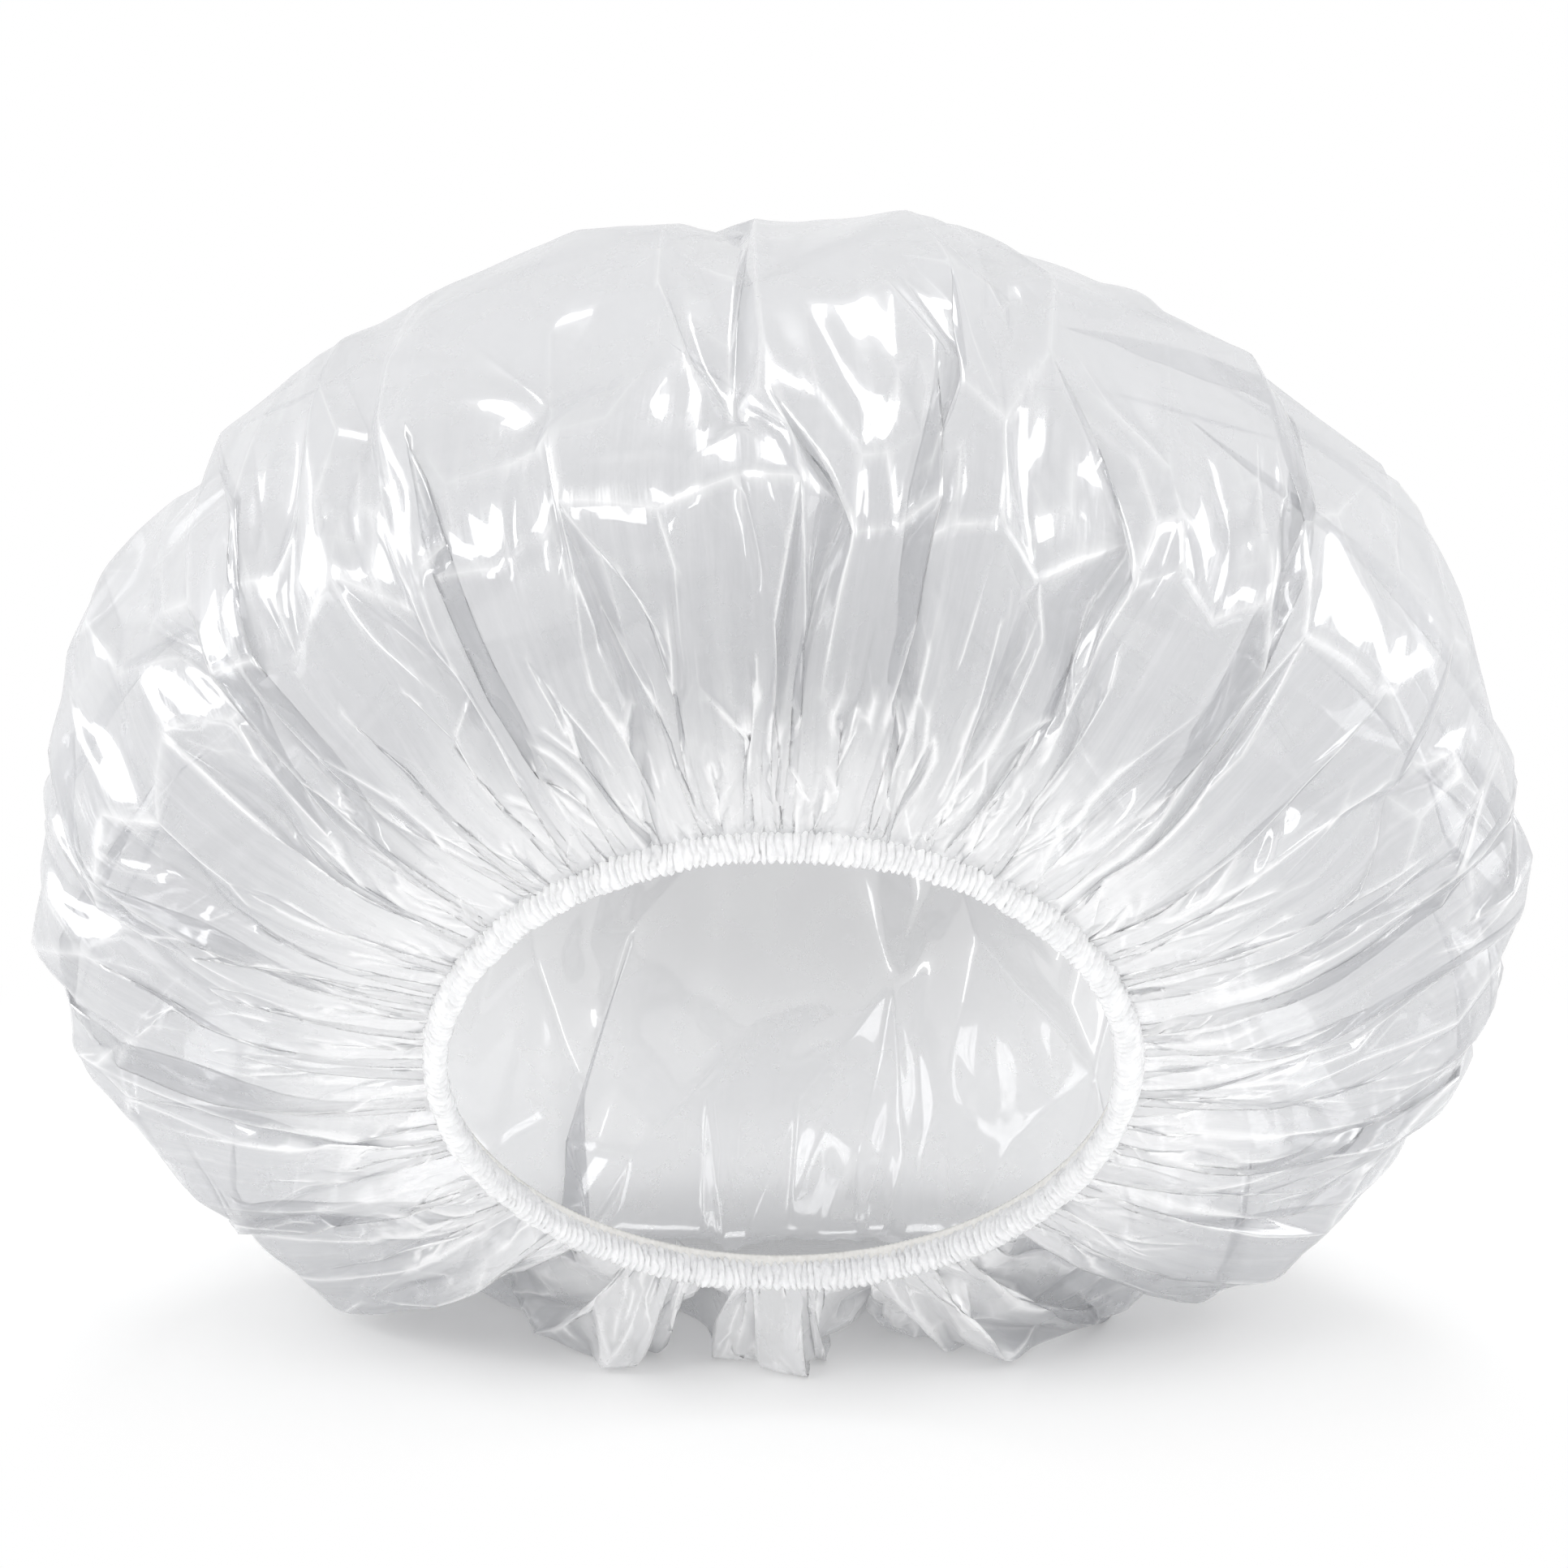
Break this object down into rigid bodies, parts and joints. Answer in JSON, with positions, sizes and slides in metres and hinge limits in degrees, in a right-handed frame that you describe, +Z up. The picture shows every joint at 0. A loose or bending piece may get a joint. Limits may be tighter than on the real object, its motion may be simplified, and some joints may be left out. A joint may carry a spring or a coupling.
{
  "type": "shower cap",
  "caption": "Puffed shower cap of clear gathered film with a folded hem over an elastic band, lying tipped back on a table with its opening to the front.",
  "frame": {"origin": "middle of the bounding box, on the table that the cap lies on", "axes": "+X to the right as the opening is looked into, +Y away from the viewer towards the crown, +Z up"},
  "size_m": [0.2496, 0.1834, 0.2066],
  "materials": {
    "clear_film": "clear thin film, glossy, crinkled by its folds",
    "gathered_film": "many layers of the same film drawn into fine gathers, so it reads white",
    "knitted_elastic": "matt flat knitted elastic, off-white",
    "splice_tape": "short wrap of film tape, satin"
  },
  "bodies": {
    "crown": {"crown_film": "clear_film"},
    "opening": {"hem_casing": "gathered_film", "elastic_band": "knitted_elastic", "elastic_splice": "splice_tape"}
  },
  "joints": [
    {"name": "hem_tuck", "type": "slide", "parent": "crown", "child": "opening", "axis": [0, 0.8536, 0.521], "range_m": [0, 0.076], "deforming": ["crown_film"]}
  ]
}
